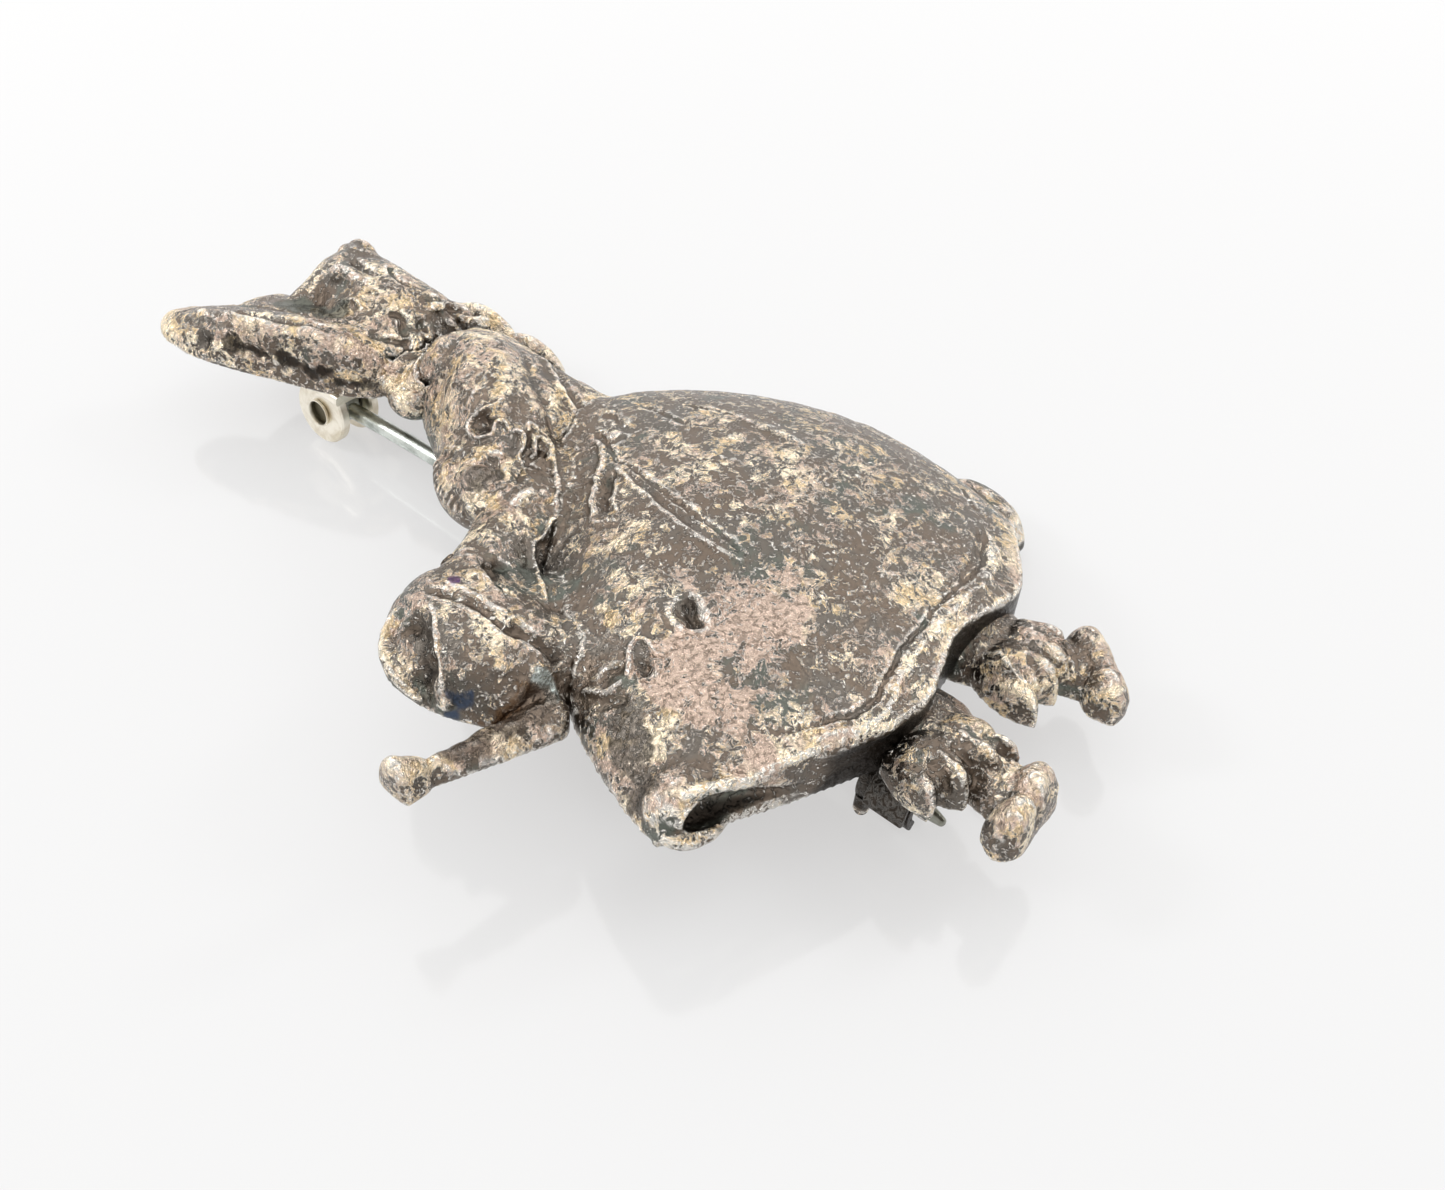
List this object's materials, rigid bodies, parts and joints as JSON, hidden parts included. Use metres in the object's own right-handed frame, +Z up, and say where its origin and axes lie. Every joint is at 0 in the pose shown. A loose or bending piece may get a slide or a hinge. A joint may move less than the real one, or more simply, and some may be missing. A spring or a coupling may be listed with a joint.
{
  "type": "figural brooch",
  "caption": "Cast silver brooch of a woman in a sunbonnet with a watering can, with a hinged pin and a rollover safety catch behind.",
  "frame": {"origin": "centre of the brooch's plan, on the surface it lies on", "axes": "+Y towards the bonnet, along the pin; +Z up from the surface; +X towards her back and bow"},
  "size_m": [0.0382, 0.0578, 0.0102],
  "materials": {
    "cast_silver": "oxidised cast silver",
    "findings": "worn bright silver",
    "pin_wire": "hard-drawn nickel silver wire"
  },
  "bodies": {
    "figure": {"figure": "cast_silver", "joint_rivet": "findings"},
    "pin": {"pin_stem": "pin_wire"},
    "latch": {"catch_latch": "findings"}
  },
  "joints": [
    {"name": "pin_swing", "type": "hinge", "parent": "figure", "child": "pin", "pos_m": [-0.00008, 0.01885, 0.0021], "axis": [0.989, -0.0015, -0.1477], "range_deg": [0, 75]},
    {"name": "latch_turn", "type": "hinge", "parent": "figure", "child": "latch", "pos_m": [-0.0004, -0.02042, 0.00182], "axis": [0, 1, -0.0098], "range_deg": [0, 90]}
  ]
}
